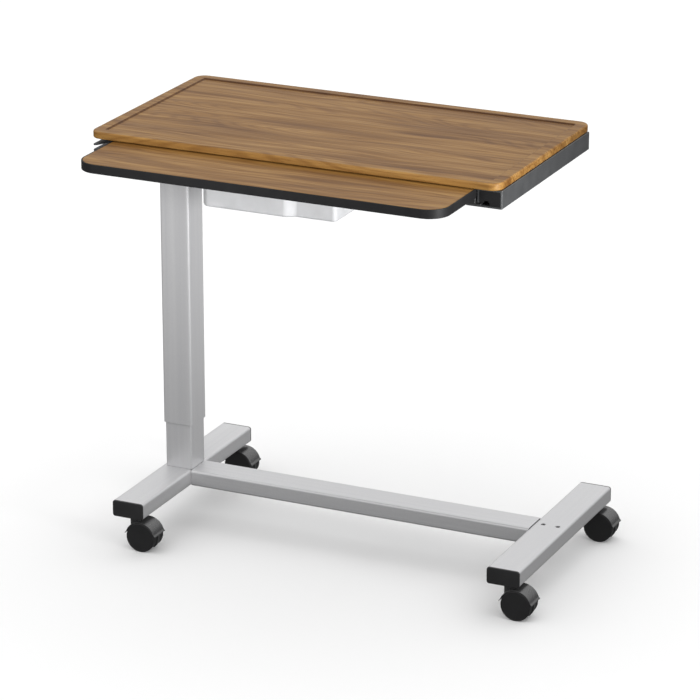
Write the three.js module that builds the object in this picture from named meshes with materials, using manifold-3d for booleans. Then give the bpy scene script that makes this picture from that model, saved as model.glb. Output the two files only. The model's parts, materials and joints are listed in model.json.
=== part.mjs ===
// Overbed table. An H-shaped base of steel tube rolls on four swivel casters, a telescopic column stands
// near its left end, and two wood-finish tops are carried on the column: a main top with a raised spill
// lip, and a lower top that slides out to the front under it. A storage tray slides below the tops.
// Millimetres, +Z up, +X along the cross bar away from the column, -Y the way the lower top slides out.
import * as THREE from "three";
import { mergeVertices } from "three/addons/utils/BufferGeometryUtils.js";
import Module from "manifold-3d";

// ---------- driving dimensions ----------
const GAP = 0.3; // between pieces that touch
const RUNNING_GAP = 0.6; // between pieces that slide or turn on each other
const OVERCUT = 1; // how far a cutting solid passes the surface that it cuts
const LEAST_CORNER = 0.5; // inside corner of the thickest tube

// main top
const TOP_LENGTH = 762;
const TOP_DEPTH = 414;
const TOP_THICKNESS = 12.7;
const TOP_HEIGHT = 764.8; // upper edge above the floor
const TOP_CORNER = 21;
const LIP_WIDTH = 20; // flat crest of the spill lip
const LIP_SLOPE = 3.5; // width of the slope down to the recess
const LIP_HEIGHT = 2.5;
const RECESS_CORNER = 2; // at the floor of the recess

// lower top
const LOWER_LENGTH = 674;
const LOWER_DEPTH = 398;
const LOWER_THICKNESS = 16;
const LOWER_CORNER = 38;
const LOWER_GAP = 1.1; // under the main top
const LOWER_OUT = 135.7; // how far it stands out in front of the main top
const BAND_THICKNESS = 2;

// rails and runners
const RAIL_PROUD = 2; // outside the end of the main top
const RAIL_CLEARANCE = 2; // between the side of the lower top and the rail
const RAIL_LENGTH = 390;
const RAIL_SETBACK = 9; // rails start this far behind the front of the main top
const RAIL_WALL = 3;
const RAIL_LEDGE = 20; // bottom flange, inwards past the side of the rail
const RAIL_SLOT = 4; // height of the slot that the runner's lip runs in
const LEFT_RAIL_SETBACK = 70; // the left rail starts this much farther back, behind the lever
const RUNNER_LENGTH = 250;
const RUNNER_HEIGHT = 11.3;
const RUNNER_INSET = 1; // from the side of the lower top
const RUNNER_SETBACK = 6; // from the back of the lower top
const RUNNER_WIDTH = 14;
const RUNNER_LIP = 10;
const RUNNER_LIP_HEIGHT = 2.2;
const NOTCH_START = 13; // notch in the rail's front cap, from the side of the lower top
const NOTCH_END = 24;
const NOTCH_HEIGHT = 8.5;
const HOOK_RADIUS = 2; // corner of the cap beside its notch

// support frame
const ARM_WIDTH = 40;
const ARM_HEIGHT = 20;
const ARM_WALL = 2;
const ARM_CORNER = 3;
const ARM_SPACING = 180;
const ARM_LAP = 12; // under each rail's ledge
const HEAD_LENGTH = 116;
const HEAD_THICKNESS = 6;
const HEAD_CORNER = 10;

// column
const COLUMN_INSET = 67.7; // column centre from the left end of the main top
const OUTER_SIZE = 57;
const OUTER_WALL = 1.5;
const COLUMN_GAP = 1;
const INNER_WALL = 2;
const COLUMN_CORNER = 4;
const PLUG_CORNER = 1.5; // of the blocks inside the inner tube
const OUTER_FROM_FOOT = 85; // bottom of the outer tube above the foot
const LIFT_DOWN = 80;
const LIFT_UP = 270;
const GLIDE_BELOW_HEAD = 8; // between the glide and the head plate at the lowest height
const GLIDE_HEIGHT = 5;
const GLIDE_PLUG = 25;
const BASE_BLOCK_HEIGHT = 20;
const BASE_BOLT_SPACING = 30;
const BASE_BOLT_RADIUS = 4;
const BASE_BOLT_COVER = 5; // of the block above the bolts
const BOLT_HEAD_RADIUS = 6.4;
const BOLT_HEAD_HEIGHT = 5;
const SPRING_RADIUS = 11;
const SPRING_WALL = 3;
const SPRING_ROD_RADIUS = 4;
const SPRING_NECK = 20;
const SPRING_ROOM = 2; // round the spring where it passes the glide
const SPRING_SPARE = 4; // travel left at each end
const PISTON_HEIGHT = 12;

// base
const FOOT_LENGTH = 432;
const FOOT_WIDTH = 60;
const FOOT_HEIGHT = 30;
const FOOT_CORNER = 5;
const FOOT_WALL = 2;
const FOOT_SPACING = 718.8; // between the centrelines of the two feet
const BAR_WIDTH = 60;
const CAP_THICKNESS = 3;
const CAP_PLUG = 8;
const INSERT_LENGTH = 90;
const INSERT_WALL = 8; // metal left round the joint insert in the foot's side
const INSERT_SETBACK = 4; // from the far wall of the foot
const JOINT_SCREW_SPACING = 27;
const JOINT_HOLE_RADIUS = 4;
const JOINT_SCREW_RADIUS = 3.3;
const JOINT_SCREW_SUNK = 0.8;
const JOINT_SCREW_SOCKET = 3; // depth of the hexagon socket
const JOINT_SCREW_FLOOR = 6; // between the screw and the foot's lower wall

// casters
const CASTER_OFFSET = 21.6; // wheel centre from the stem
const WHEEL_RADIUS = 27;
const WHEEL_WIDTH = 15.5;
const WHEEL_SPACING = 8; // between the two wheels
const WHEEL_CHAMFER = 1.5;
const WHEEL_DISC = 3; // outer disc that closes the bore
const HOOD_THICKNESS = 1.5;
const HOOD_CLEARANCE = 6.4; // between the crown of the hood and the foot
const HOOD_END_ANGLE = 10; // degrees above the axle where the hood ends
const HOOD_SPUR = 2.6; // the hood's ends flare out this much
const HOOD_SPUR_ANGLE = 7; // degrees over which they flare
const WEB_START_ANGLE = -45; // degrees round the axle that the web covers
const WEB_END_ANGLE = 207;
const BOSS_RADIUS = 6;
const STEM_RADIUS = 4;
const STEM_COVER = 4; // between the top of the stem and the top of the foot
const STEM_GRIP = 12; // in the hood
const AXLE_RADIUS = 3;
const SOCKET_LENGTH = 20;
const SOCKET_SETBACK = 2; // between the end cap's plug and the socket
const STEM_LENGTH = FOOT_HEIGHT - STEM_COVER; // in the socket
const CASTER_HEIGHT = 2 * WHEEL_RADIUS + RUNNING_GAP + HOOD_THICKNESS + HOOD_CLEARANCE;
const CASTER_INSET = CAP_THICKNESS + CAP_PLUG + SOCKET_SETBACK + SOCKET_LENGTH / 2; // stem from the foot's end

// storage tray
const TRAY_WIDTH = 252;
const TRAY_DEPTH = 290;
const TRAY_HEIGHT = 56.5;
const TRAY_WALL = 2.5;
const TRAY_CORNER = 14;
const TRAY_RIM = 10; // width of the rim that runs in the hangers
const TRAY_RIM_HEIGHT = 3;
const TRAY_LEFT = 188; // left side of the tray from the left end of the main top
const TRAY_FRONT = 148; // front of the tray in front of the main top's middle
const TRAY_BOW = 9; // the left part of the front stands this much proud
const TRAY_BOW_SHARE = 0.62; // share of the front that stands proud
const TRAY_STEP = 24; // width of the step back
const HANGER_WIDTH = 16;
const HANGER_WALL = 2;

// release lever
const LEVER_WIDTH = 20;
const LEVER_THICKNESS = 3.5;
const LEVER_FROM_EDGE = 10; // lever's outer side from the left end of the main top
const LEVER_PAST_EDGE = 3; // tip in front of the main top
const LEVER_PIVOT_BACK = 60; // pivot behind the front of the main top
const LEVER_DROP = 19.2; // pivot below the main top
const FINGER_TIP = 1.5; // radius of the tip
const FINGER_SHOULDER = 28; // full width is reached this far behind the tip
const GUARD_THICKNESS = 3;
const GUARD_DROP = 7.8; // top of the guard below the main top
const GUARD_PAD_FRONT = 12; // mounting pad, in front of the pivot
const GUARD_PAD_BACK = 14;
const EAR_THICKNESS = 3;
const PIVOT_RADIUS = 2.5;
const HUB_RADIUS = 5.5;
const PIN_PROUD = 1;

// ---------- heights and places that follow from them ----------
const topBottom = TOP_HEIGHT - TOP_THICKNESS;
const lowerTopZ = topBottom - LOWER_GAP;
const lowerBottomZ = lowerTopZ - LOWER_THICKNESS;
const ledgeZ = lowerBottomZ - RUNNER_HEIGHT - RUNNING_GAP; // top of the rail's ledge
const railBottomZ = ledgeZ - RAIL_WALL;
const railTopZ = topBottom - GAP;
const armTopZ = railBottomZ - GAP;
const armBottomZ = armTopZ - ARM_HEIGHT;
const headTopZ = armBottomZ - GAP;
const headBottomZ = headTopZ - HEAD_THICKNESS;
const footBottomZ = CASTER_HEIGHT;
const footTopZ = footBottomZ + FOOT_HEIGHT;

const topHalf = TOP_LENGTH / 2;
const topFront = -TOP_DEPTH / 2;
const lowerHalf = LOWER_LENGTH / 2;
const lowerFront = topFront - LOWER_OUT;
const railOuter = topHalf + RAIL_PROUD;
const railInner = lowerHalf + RAIL_CLEARANCE;
const ledgeInner = railInner - RAIL_LEDGE;
const railFront = topFront + RAIL_SETBACK;
const railBack = railFront + RAIL_LENGTH;
const leftRailFront = railFront + LEFT_RAIL_SETBACK;
const columnX = -topHalf + COLUMN_INSET;
const innerSize = OUTER_SIZE - 2 * OUTER_WALL - 2 * COLUMN_GAP;
const leftFootX = columnX + innerSize / 2 - FOOT_WIDTH / 2; // the column is flush with the foot's right side
const rightFootX = leftFootX + FOOT_SPACING;
const outerBottomZ = footTopZ + OUTER_FROM_FOOT;
const outerTopZ = headBottomZ - GAP;
const glideTopZ = headBottomZ - LIFT_DOWN - GLIDE_BELOW_HEAD;
const innerTopZ = glideTopZ - GLIDE_HEIGHT - GAP;
const baseBlockTopZ = footTopZ + GAP + BASE_BLOCK_HEIGHT;
const tubeLength = FOOT_LENGTH - 2 * CAP_THICKNESS - 2 * GAP;

// ---------- materials ----------
const material = (color, roughness, metalness) =>
  new THREE.MeshStandardMaterial({ color, roughness, metalness });
const woodFinish = material(0xa08466, 0.45, 0);
const steelFinish = material(0xc8c8ca, 0.35, 0.7);
const blackFinish = material(0x2c2c2e, 0.5, 0);
const railFinish = material(0x55575a, 0.45, 0.3);
const darkSteelFinish = material(0x3a3a3c, 0.4, 0.8);
const brightSteelFinish = material(0xd8d8da, 0.2, 1);
const trayFinish = material(0xe6e6e8, 0.35, 0);
const whitePlasticFinish = material(0xdcdcd8, 0.5, 0);

// ---------- solids ----------
const wasm = await Module();
wasm.setup();

// A closed geometry as a manifold-3d solid.
function solidOf(geometry) {
  const bare = geometry.index ? geometry.toNonIndexed() : geometry.clone();
  bare.deleteAttribute("normal");
  bare.deleteAttribute("uv");
  const merged = mergeVertices(bare, 1e-4);
  return new wasm.Manifold(
    new wasm.Mesh({
      numProp: 3,
      vertProperties: merged.attributes.position.array,
      triVerts: new Uint32Array(merged.index.array),
    }),
  );
}

// A manifold-3d solid as a geometry.
function geometryOf(solid) {
  const mesh = solid.getMesh();
  const geometry = new THREE.BufferGeometry();
  geometry.setAttribute("position", new THREE.BufferAttribute(mesh.vertProperties, 3));
  geometry.setIndex(new THREE.BufferAttribute(mesh.triVerts, 1));
  return geometry.toNonIndexed();
}

const join = (first, ...rest) => geometryOf(rest.reduce((sum, g) => sum.add(solidOf(g)), solidOf(first)));
const cut = (first, ...rest) => geometryOf(rest.reduce((sum, g) => sum.subtract(solidOf(g)), solidOf(first)));

// A box between two corners.
function box(x0, x1, y0, y1, z0, z1) {
  const geometry = new THREE.BoxGeometry(x1 - x0, y1 - y0, z1 - z0);
  return geometry.translate((x0 + x1) / 2, (y0 + y1) / 2, (z0 + z1) / 2);
}

// The outline of a rectangle about the origin with rounded corners.
function roundedRectangle(width, height, radius, Kind = THREE.Shape) {
  const x = width / 2 - radius;
  const y = height / 2 - radius;
  const outline = new Kind();
  outline.absarc(x, -y, radius, -Math.PI / 2, 0);
  outline.absarc(x, y, radius, 0, Math.PI / 2);
  outline.absarc(-x, y, radius, Math.PI / 2, Math.PI);
  outline.absarc(-x, -y, radius, Math.PI, 1.5 * Math.PI);
  outline.closePath();
  return outline;
}

// A shape extruded along +Z between two heights.
function prism(shape, z0, z1, curveSegments = 5) {
  const geometry = new THREE.ExtrudeGeometry(shape, { depth: z1 - z0, bevelEnabled: false, curveSegments });
  return geometry.translate(0, 0, z0);
}

// A shape drawn in X and Z, extruded along +Y between two places.
function prismAlongY(shape, y0, y1, curveSegments = 5) {
  return prism(shape, 0, y1 - y0, curveSegments).rotateX(Math.PI / 2).translate(0, y1, 0);
}

// A rectangular tube along +Z between two heights.
function tube(width, height, wall, radius, z0, z1) {
  const shape = roundedRectangle(width, height, radius);
  const inside = Math.max(radius - wall, LEAST_CORNER);
  shape.holes.push(roundedRectangle(width - 2 * wall, height - 2 * wall, inside, THREE.Path));
  return prism(shape, z0, z1, 3);
}

// A round bar along +Z between two heights.
function bar(radius, z0, z1, segments = 20) {
  const geometry = new THREE.CylinderGeometry(radius, radius, z1 - z0, segments);
  return geometry.rotateX(Math.PI / 2).translate(0, 0, (z0 + z1) / 2);
}

// A solid of revolution about Z from a closed profile of [radius, height] pairs.
function turned(profile, segments = 32) {
  const points = profile.map(([radius, height]) => new THREE.Vector2(radius, height));
  return new THREE.LatheGeometry(points, segments).rotateX(Math.PI / 2);
}

// A closed outline through a list of points.
const polygon = (points) => new THREE.Shape(points.map(([x, y]) => new THREE.Vector2(x, y)));

const alongX = (geometry) => geometry.rotateY(Math.PI / 2);
const alongY = (geometry) => geometry.rotateX(-Math.PI / 2);

// ---------- scene graph ----------
const table = new THREE.Group();

function add(name, geometry, finish, parent = table) {
  const mesh = new THREE.Mesh(geometry, finish);
  mesh.name = name;
  parent.add(mesh);
  return mesh;
}

// ---------- tops ----------
function mainTop() {
  const panel = prism(roundedRectangle(TOP_LENGTH, TOP_DEPTH, TOP_CORNER), topBottom, TOP_HEIGHT, 8);
  const floorLength = TOP_LENGTH - 2 * (LIP_WIDTH + LIP_SLOPE);
  const floorDepth = TOP_DEPTH - 2 * (LIP_WIDTH + LIP_SLOPE);
  const recess = new THREE.ExtrudeGeometry(roundedRectangle(floorLength, floorDepth, RECESS_CORNER), {
    depth: OVERCUT,
    bevelThickness: LIP_HEIGHT,
    bevelSize: LIP_SLOPE,
    bevelSegments: 1,
    curveSegments: 4,
  });
  // The bevel widens the recess from its floor up to the crest of the lip.
  const floorZ = TOP_HEIGHT - LIP_HEIGHT;
  return cut(panel, recess.translate(0, 0, floorZ + LIP_HEIGHT));
}
add("main_top", mainTop(), woodFinish);

const vanity = new THREE.Group();
vanity.position.y = lowerFront + LOWER_DEPTH / 2;
table.add(vanity);

const coreLength = LOWER_LENGTH - 2 * (BAND_THICKNESS + GAP);
const coreDepth = LOWER_DEPTH - 2 * (BAND_THICKNESS + GAP);
const coreCorner = LOWER_CORNER - BAND_THICKNESS - GAP;
const bandOutline = roundedRectangle(LOWER_LENGTH, LOWER_DEPTH, LOWER_CORNER);
bandOutline.holes.push(
  roundedRectangle(coreLength + 2 * GAP, coreDepth + 2 * GAP, coreCorner + GAP, THREE.Path),
);
add("lower_top", prism(roundedRectangle(coreLength, coreDepth, coreCorner), lowerBottomZ, lowerTopZ, 8),
  woodFinish, vanity);
add("lower_top_edge_band", prism(bandOutline, lowerBottomZ, lowerTopZ, 8), blackFinish, vanity);

// ---------- rails, runners ----------
// The right rail's section: a box with a slot low in its inner side and a ledge below the slot.
function railSection() {
  const slotTop = ledgeZ + RAIL_SLOT;
  return polygon([
    [ledgeInner, railBottomZ],
    [railOuter, railBottomZ],
    [railOuter, railTopZ],
    [railInner, railTopZ],
    [railInner, slotTop],
    [railInner + RAIL_WALL, slotTop],
    [railInner + RAIL_WALL, railTopZ - RAIL_WALL],
    [railOuter - RAIL_WALL, railTopZ - RAIL_WALL],
    [railOuter - RAIL_WALL, ledgeZ],
    [ledgeInner, ledgeZ],
  ]);
}

// The plate that closes the front end of a rail, with a notch for the runner's lip.
function railCapSection() {
  const x0 = railInner + RAIL_WALL + GAP;
  const x1 = railOuter - RAIL_WALL - GAP;
  const z0 = ledgeZ + GAP;
  const z1 = railTopZ - RAIL_WALL - GAP;
  const notchStart = lowerHalf + NOTCH_START;
  const notchEnd = lowerHalf + NOTCH_END;
  const hookZ = ledgeZ + RAIL_SLOT;
  const notchTop = ledgeZ + NOTCH_HEIGHT;
  const cap = new THREE.Shape();
  cap.moveTo(notchEnd, z0);
  cap.lineTo(x1, z0);
  cap.lineTo(x1, z1);
  cap.lineTo(x0, z1);
  cap.lineTo(x0, hookZ + HOOK_RADIUS);
  cap.quadraticCurveTo(x0, hookZ, x0 + HOOK_RADIUS, hookZ);
  cap.quadraticCurveTo(notchStart, hookZ, notchStart, hookZ + HOOK_RADIUS);
  cap.quadraticCurveTo(notchStart, notchTop, (notchStart + notchEnd) / 2, notchTop);
  cap.quadraticCurveTo(notchEnd, notchTop, notchEnd, z0);
  return cap;
}

// The section of the runner under the edge of the lower top, with a lip that reaches into the rail.
function runnerSection() {
  const z0 = ledgeZ + RUNNING_GAP;
  const z1 = lowerBottomZ - GAP;
  const x1 = lowerHalf - RUNNER_INSET;
  const x0 = x1 - RUNNER_WIDTH;
  const lip = x1 + RUNNER_LIP;
  return polygon([
    [x0, z0],
    [lip, z0],
    [lip, z0 + RUNNER_LIP_HEIGHT],
    [x1, z0 + RUNNER_LIP_HEIGHT],
    [x1, z1],
    [x0, z1],
  ]);
}

// A shape turned over left to right.
function mirrored(shape) {
  const points = shape.getPoints(5).map((p) => new THREE.Vector2(-p.x, p.y));
  return new THREE.Shape(points.reverse());
}

const runnerBack = LOWER_DEPTH / 2 - RUNNER_SETBACK;
const sides = [
  ["left", leftRailFront, mirrored],
  ["right", railFront, (shape) => shape],
];
for (const [side, front, facing] of sides) {
  add(side + "_rail", prismAlongY(facing(railSection()), front, railBack), railFinish);
  add(side + "_rail_front_cap", prismAlongY(facing(railCapSection()), front, front + RAIL_WALL), blackFinish);
  add(side + "_runner", prismAlongY(facing(runnerSection()), runnerBack - RUNNER_LENGTH, runnerBack),
    blackFinish, vanity);
}

// ---------- support frame ----------
const armEnd = ledgeInner + ARM_LAP;
for (const [name, y] of [["front_arm", -ARM_SPACING / 2], ["back_arm", ARM_SPACING / 2]]) {
  const arm = alongX(tube(ARM_HEIGHT, ARM_WIDTH, ARM_WALL, ARM_CORNER, -armEnd, armEnd));
  add(name, arm.translate(0, y, (armTopZ + armBottomZ) / 2), darkSteelFinish);
}
const headDepth = ARM_SPACING + ARM_WIDTH;
const headPlate = prism(roundedRectangle(HEAD_LENGTH, headDepth, HEAD_CORNER), headBottomZ, headTopZ);
add("head_plate", headPlate.translate(columnX, 0, 0), darkSteelFinish);

// ---------- column ----------
const column = new THREE.Group();
column.position.x = columnX;
table.add(column);
add("outer_column", tube(OUTER_SIZE, OUTER_SIZE, OUTER_WALL, COLUMN_CORNER, outerBottomZ, outerTopZ),
  steelFinish, column);
const innerCorner = COLUMN_CORNER - COLUMN_GAP;
const plugSize = innerSize - 2 * INNER_WALL - 2 * GAP;
add("inner_column", tube(innerSize, innerSize, INNER_WALL, innerCorner, footTopZ + GAP, innerTopZ),
  steelFinish, column);

// A plastic cap on top of the inner tube that guides the outer tube and lets the gas spring through.
function columnGlide() {
  const flange = innerSize + 2 * COLUMN_GAP - 2 * GAP;
  const cap = prism(roundedRectangle(flange, flange, innerCorner), glideTopZ - GLIDE_HEIGHT, glideTopZ);
  const stem = prism(roundedRectangle(plugSize, plugSize, PLUG_CORNER), glideTopZ - GLIDE_PLUG, glideTopZ - OVERCUT);
  const hole = bar(SPRING_RADIUS + SPRING_ROOM, glideTopZ - GLIDE_PLUG - OVERCUT, glideTopZ + OVERCUT);
  return cut(join(cap, stem), hole);
}
add("column_glide", columnGlide(), whitePlasticFinish, column);

const boltYs = [-BASE_BOLT_SPACING / 2, BASE_BOLT_SPACING / 2];
const boltBottomZ = footTopZ - FOOT_WALL - GAP;
const boltTopZ = baseBlockTopZ - BASE_BOLT_COVER;
add("column_base_block", cut(
  prism(roundedRectangle(plugSize, plugSize, PLUG_CORNER), footTopZ + GAP, baseBlockTopZ),
  ...boltYs.map((y) => bar(BASE_BOLT_RADIUS + GAP, footTopZ - OVERCUT, boltTopZ + GAP).translate(0, y, 0)),
), darkSteelFinish, column);
boltYs.forEach((y, i) => {
  const shank = bar(BASE_BOLT_RADIUS, boltBottomZ - OVERCUT, boltTopZ);
  const head = bar(BOLT_HEAD_RADIUS, boltBottomZ - BOLT_HEAD_HEIGHT, boltBottomZ, 6);
  add(["front", "back"][i] + "_column_bolt", join(head, shank).translate(0, y, 0), darkSteelFinish, column);
});

// ---------- gas spring ----------
const springBottomZ = baseBlockTopZ + GAP;
const pistonZ = springBottomZ + SPRING_WALL + LIFT_DOWN + SPRING_SPARE;
const neckZ = pistonZ + PISTON_HEIGHT + LIFT_UP + SPRING_SPARE;
const neckRadius = SPRING_ROD_RADIUS + GAP;
const boreRadius = SPRING_RADIUS - SPRING_WALL;
add("gas_spring_cylinder", turned([
  [0, springBottomZ],
  [SPRING_RADIUS, springBottomZ],
  [SPRING_RADIUS, neckZ + SPRING_NECK],
  [neckRadius, neckZ + SPRING_NECK],
  [neckRadius, neckZ],
  [boreRadius, neckZ],
  [boreRadius, springBottomZ + SPRING_WALL],
  [0, springBottomZ + SPRING_WALL],
], 24), darkSteelFinish, column);
add("gas_spring_rod", turned([
  [0, pistonZ],
  [boreRadius - GAP, pistonZ],
  [boreRadius - GAP, pistonZ + PISTON_HEIGHT],
  [SPRING_ROD_RADIUS, pistonZ + PISTON_HEIGHT],
  [SPRING_ROD_RADIUS, headBottomZ - GAP],
  [0, headBottomZ - GAP],
], 16), brightSteelFinish, column);

// ---------- base ----------
const feet = [["left", leftFootX], ["right", rightFootX]];
const ends = [["front", -1], ["back", 1]];
const barZ = footBottomZ + FOOT_HEIGHT / 2; // middle of the tubes
const stemY = FOOT_LENGTH / 2 - CASTER_INSET;
const stemHole = bar(STEM_RADIUS + GAP, footBottomZ - OVERCUT, footBottomZ + FOOT_WALL + OVERCUT);
const insertWidth = BAR_WIDTH - 2 * FOOT_WALL - 2 * INSERT_WALL;
const insertHeight = FOOT_HEIGHT - 2 * FOOT_WALL - 2 * GAP;
const insertEnd = rightFootX + FOOT_WIDTH / 2 - FOOT_WALL - INSERT_SETBACK;
const screwXs = [-JOINT_SCREW_SPACING / 2, JOINT_SCREW_SPACING / 2].map((x) => rightFootX + x);
const screwTopZ = footTopZ - JOINT_SCREW_SUNK;
const screwBottomZ = footBottomZ + FOOT_WALL + JOINT_SCREW_FLOOR;

// A cutter for a hole in the foot's upper wall.
const topHole = (radius) => bar(radius, footTopZ - FOOT_WALL - OVERCUT, footTopZ + OVERCUT);

function footTube(name, x) {
  const end = tubeLength / 2;
  const blank = alongY(tube(FOOT_WIDTH, FOOT_HEIGHT, FOOT_WALL, FOOT_CORNER, -end, end));
  blank.translate(x, 0, barZ);
  const holes = ends.map(([, sign]) => stemHole.clone().translate(x, sign * stemY, 0));
  if (name === "left") {
    for (const y of boltYs)
      holes.push(topHole(BASE_BOLT_RADIUS + GAP).translate(columnX, y, 0));
  } else {
    const z0 = footBottomZ + FOOT_WALL;
    const z1 = footTopZ - FOOT_WALL;
    const w = insertWidth / 2 + GAP;
    const side = x - FOOT_WIDTH / 2;
    holes.push(box(side - OVERCUT, side + FOOT_CORNER + OVERCUT, -w, w, z0, z1));
    for (const sx of screwXs)
      holes.push(topHole(JOINT_HOLE_RADIUS).translate(sx, 0, 0));
  }
  return cut(blank, ...holes);
}

// The outline of a plug that fills the inside of a foot.
function footPlug() {
  const inset = 2 * (FOOT_WALL + GAP);
  return roundedRectangle(FOOT_WIDTH - inset, FOOT_HEIGHT - inset, FOOT_CORNER - FOOT_WALL);
}

// A moulded cap that covers a tube's end, with a plug inside the tube.
function endCap() {
  const face = prism(roundedRectangle(FOOT_WIDTH, FOOT_HEIGHT, FOOT_CORNER), 0, CAP_THICKNESS);
  return join(face, prism(footPlug(), CAP_THICKNESS - OVERCUT, CAP_THICKNESS + CAP_PLUG));
}

// A block in the foot that grips the caster's stem.
function stemSocket() {
  const block = alongY(prism(footPlug(), -SOCKET_LENGTH / 2, SOCKET_LENGTH / 2));
  block.translate(0, 0, barZ);
  return cut(block, bar(STEM_RADIUS + GAP, footBottomZ, footBottomZ + STEM_LENGTH));
}

const barStart = leftFootX + FOOT_WIDTH / 2 + GAP;
const barEnd = rightFootX - FOOT_WIDTH / 2 - GAP;
const crossBar = alongX(tube(FOOT_HEIGHT, BAR_WIDTH, FOOT_WALL, FOOT_CORNER, barStart, barEnd));
add("cross_bar", crossBar.translate(0, 0, barZ), steelFinish);
add("cross_bar_insert", cut(
  box(insertEnd - INSERT_LENGTH, insertEnd, -insertWidth / 2, insertWidth / 2,
    barZ - insertHeight / 2, barZ + insertHeight / 2),
  ...screwXs.map((x) => bar(JOINT_SCREW_RADIUS + GAP, screwBottomZ - GAP, footTopZ).translate(x, 0, 0)),
), darkSteelFinish);
screwXs.forEach((x, i) => {
  const screw = bar(JOINT_SCREW_RADIUS, screwBottomZ, screwTopZ);
  const socket = bar(JOINT_SCREW_RADIUS / 2, screwTopZ - JOINT_SCREW_SOCKET, screwTopZ + OVERCUT, 6);
  add(["inner", "outer"][i] + "_joint_screw", cut(screw, socket).translate(x, 0, 0), darkSteelFinish);
});

// ---------- casters ----------
const wheelInner = WHEEL_SPACING / 2;
const wheelOuter = wheelInner + WHEEL_WIDTH;

// One wheel about Y, with its outer face towards +Y.
function wheel() {
  const r = WHEEL_RADIUS;
  const bore = AXLE_RADIUS + GAP;
  return alongY(turned([
    [bore, wheelInner],
    [r - WHEEL_CHAMFER, wheelInner],
    [r, wheelInner + WHEEL_CHAMFER],
    [r, wheelOuter - WHEEL_CHAMFER],
    [r - WHEEL_CHAMFER, wheelOuter],
    [0, wheelOuter],
    [0, wheelOuter - WHEEL_DISC],
    [bore, wheelOuter - WHEEL_DISC],
    [bore, wheelInner],
  ], 24));
}

// The hood: a curved cover over both treads, a web between the wheels, a boss round the stem and a
// shoulder that joins the boss to the cover.
function hood() {
  const inner = WHEEL_RADIUS + RUNNING_GAP;
  const outer = inner + HOOD_THICKNESS;
  const end = THREE.MathUtils.degToRad(HOOD_END_ANGLE);
  const spurStart = end + THREE.MathUtils.degToRad(HOOD_SPUR_ANGLE);
  const cover = new THREE.Shape();
  cover.absarc(0, 0, outer, spurStart, Math.PI - spurStart, false);
  cover.lineTo(-(outer + HOOD_SPUR) * Math.cos(end), outer * Math.sin(end));
  cover.absarc(0, 0, inner, Math.PI - end, end, true);
  cover.lineTo((outer + HOOD_SPUR) * Math.cos(end), outer * Math.sin(end));
  const shell = prismAlongY(cover, -wheelOuter, wheelOuter, 14);
  const web = wheelInner - GAP;
  const plate = new THREE.Shape();
  const webStart = THREE.MathUtils.degToRad(WEB_START_ANGLE);
  const webEnd = THREE.MathUtils.degToRad(WEB_END_ANGLE);
  plate.absarc(0, 0, inner + HOOD_THICKNESS / 3, webStart, webEnd, false);
  const webPlate = prismAlongY(plate, -web, web, 14);
  const bossTop = footBottomZ - GAP - WHEEL_RADIUS;
  const boss = join(
    bar(BOSS_RADIUS, 0, bossTop).translate(-CASTER_OFFSET, 0, 0),
    box(-CASTER_OFFSET, -CASTER_OFFSET / 3, -BOSS_RADIUS, BOSS_RADIUS, 0, bossTop),
  );
  const wheelRoom = alongY(bar(inner, -wheelOuter - OVERCUT, wheelOuter + OVERCUT, 36));
  const neck = cut(boss, wheelRoom);
  const stemRoom = bar(STEM_RADIUS + GAP, bossTop - STEM_GRIP, bossTop + OVERCUT);
  const axleRoom = alongY(bar(AXLE_RADIUS + GAP, -web - OVERCUT, web + OVERCUT));
  return cut(join(shell, webPlate, neck), stemRoom.translate(-CASTER_OFFSET, 0, 0), axleRoom);
}

for (const [side, x] of feet) {
  add(side + "_foot", footTube(side, x), steelFinish);
  for (const [end, sign] of ends) {
    const corner = side + "_" + end;
    const cap = add(corner + "_end_cap", endCap(), blackFinish);
    cap.rotation.x = (sign * Math.PI) / 2;
    cap.position.set(x, (sign * FOOT_LENGTH) / 2, barZ);
    add(corner + "_stem_socket", stemSocket(), whitePlasticFinish).position.set(x, sign * stemY, 0);

    const caster = new THREE.Group();
    caster.position.set(x, sign * stemY, 0);
    table.add(caster);
    const stemTop = footBottomZ + STEM_LENGTH - GAP;
    const stem = bar(STEM_RADIUS, footBottomZ + GAP - STEM_GRIP, stemTop, 16);
    add(corner + "_caster_stem", stem, brightSteelFinish, caster);

    const trail = new THREE.Group();
    trail.position.set(CASTER_OFFSET, 0, WHEEL_RADIUS);
    caster.add(trail);
    add(corner + "_caster_hood", hood(), blackFinish, trail);
    const axleEnd = wheelOuter - WHEEL_DISC - GAP;
    const axle = alongY(bar(AXLE_RADIUS, -axleEnd, axleEnd, 16));
    add(corner + "_caster_axle", axle, brightSteelFinish, trail);
    add(corner + "_wheel_b", wheel(), blackFinish, trail);
    add(corner + "_wheel_a", wheel(), blackFinish, trail).rotation.z = Math.PI;
  }
}

// ---------- storage tray ----------
// Half a cosine wave from 0 to 1.
const ease = (t) => 0.5 - 0.5 * Math.cos(Math.PI * Math.min(Math.max(t, 0), 1));

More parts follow.
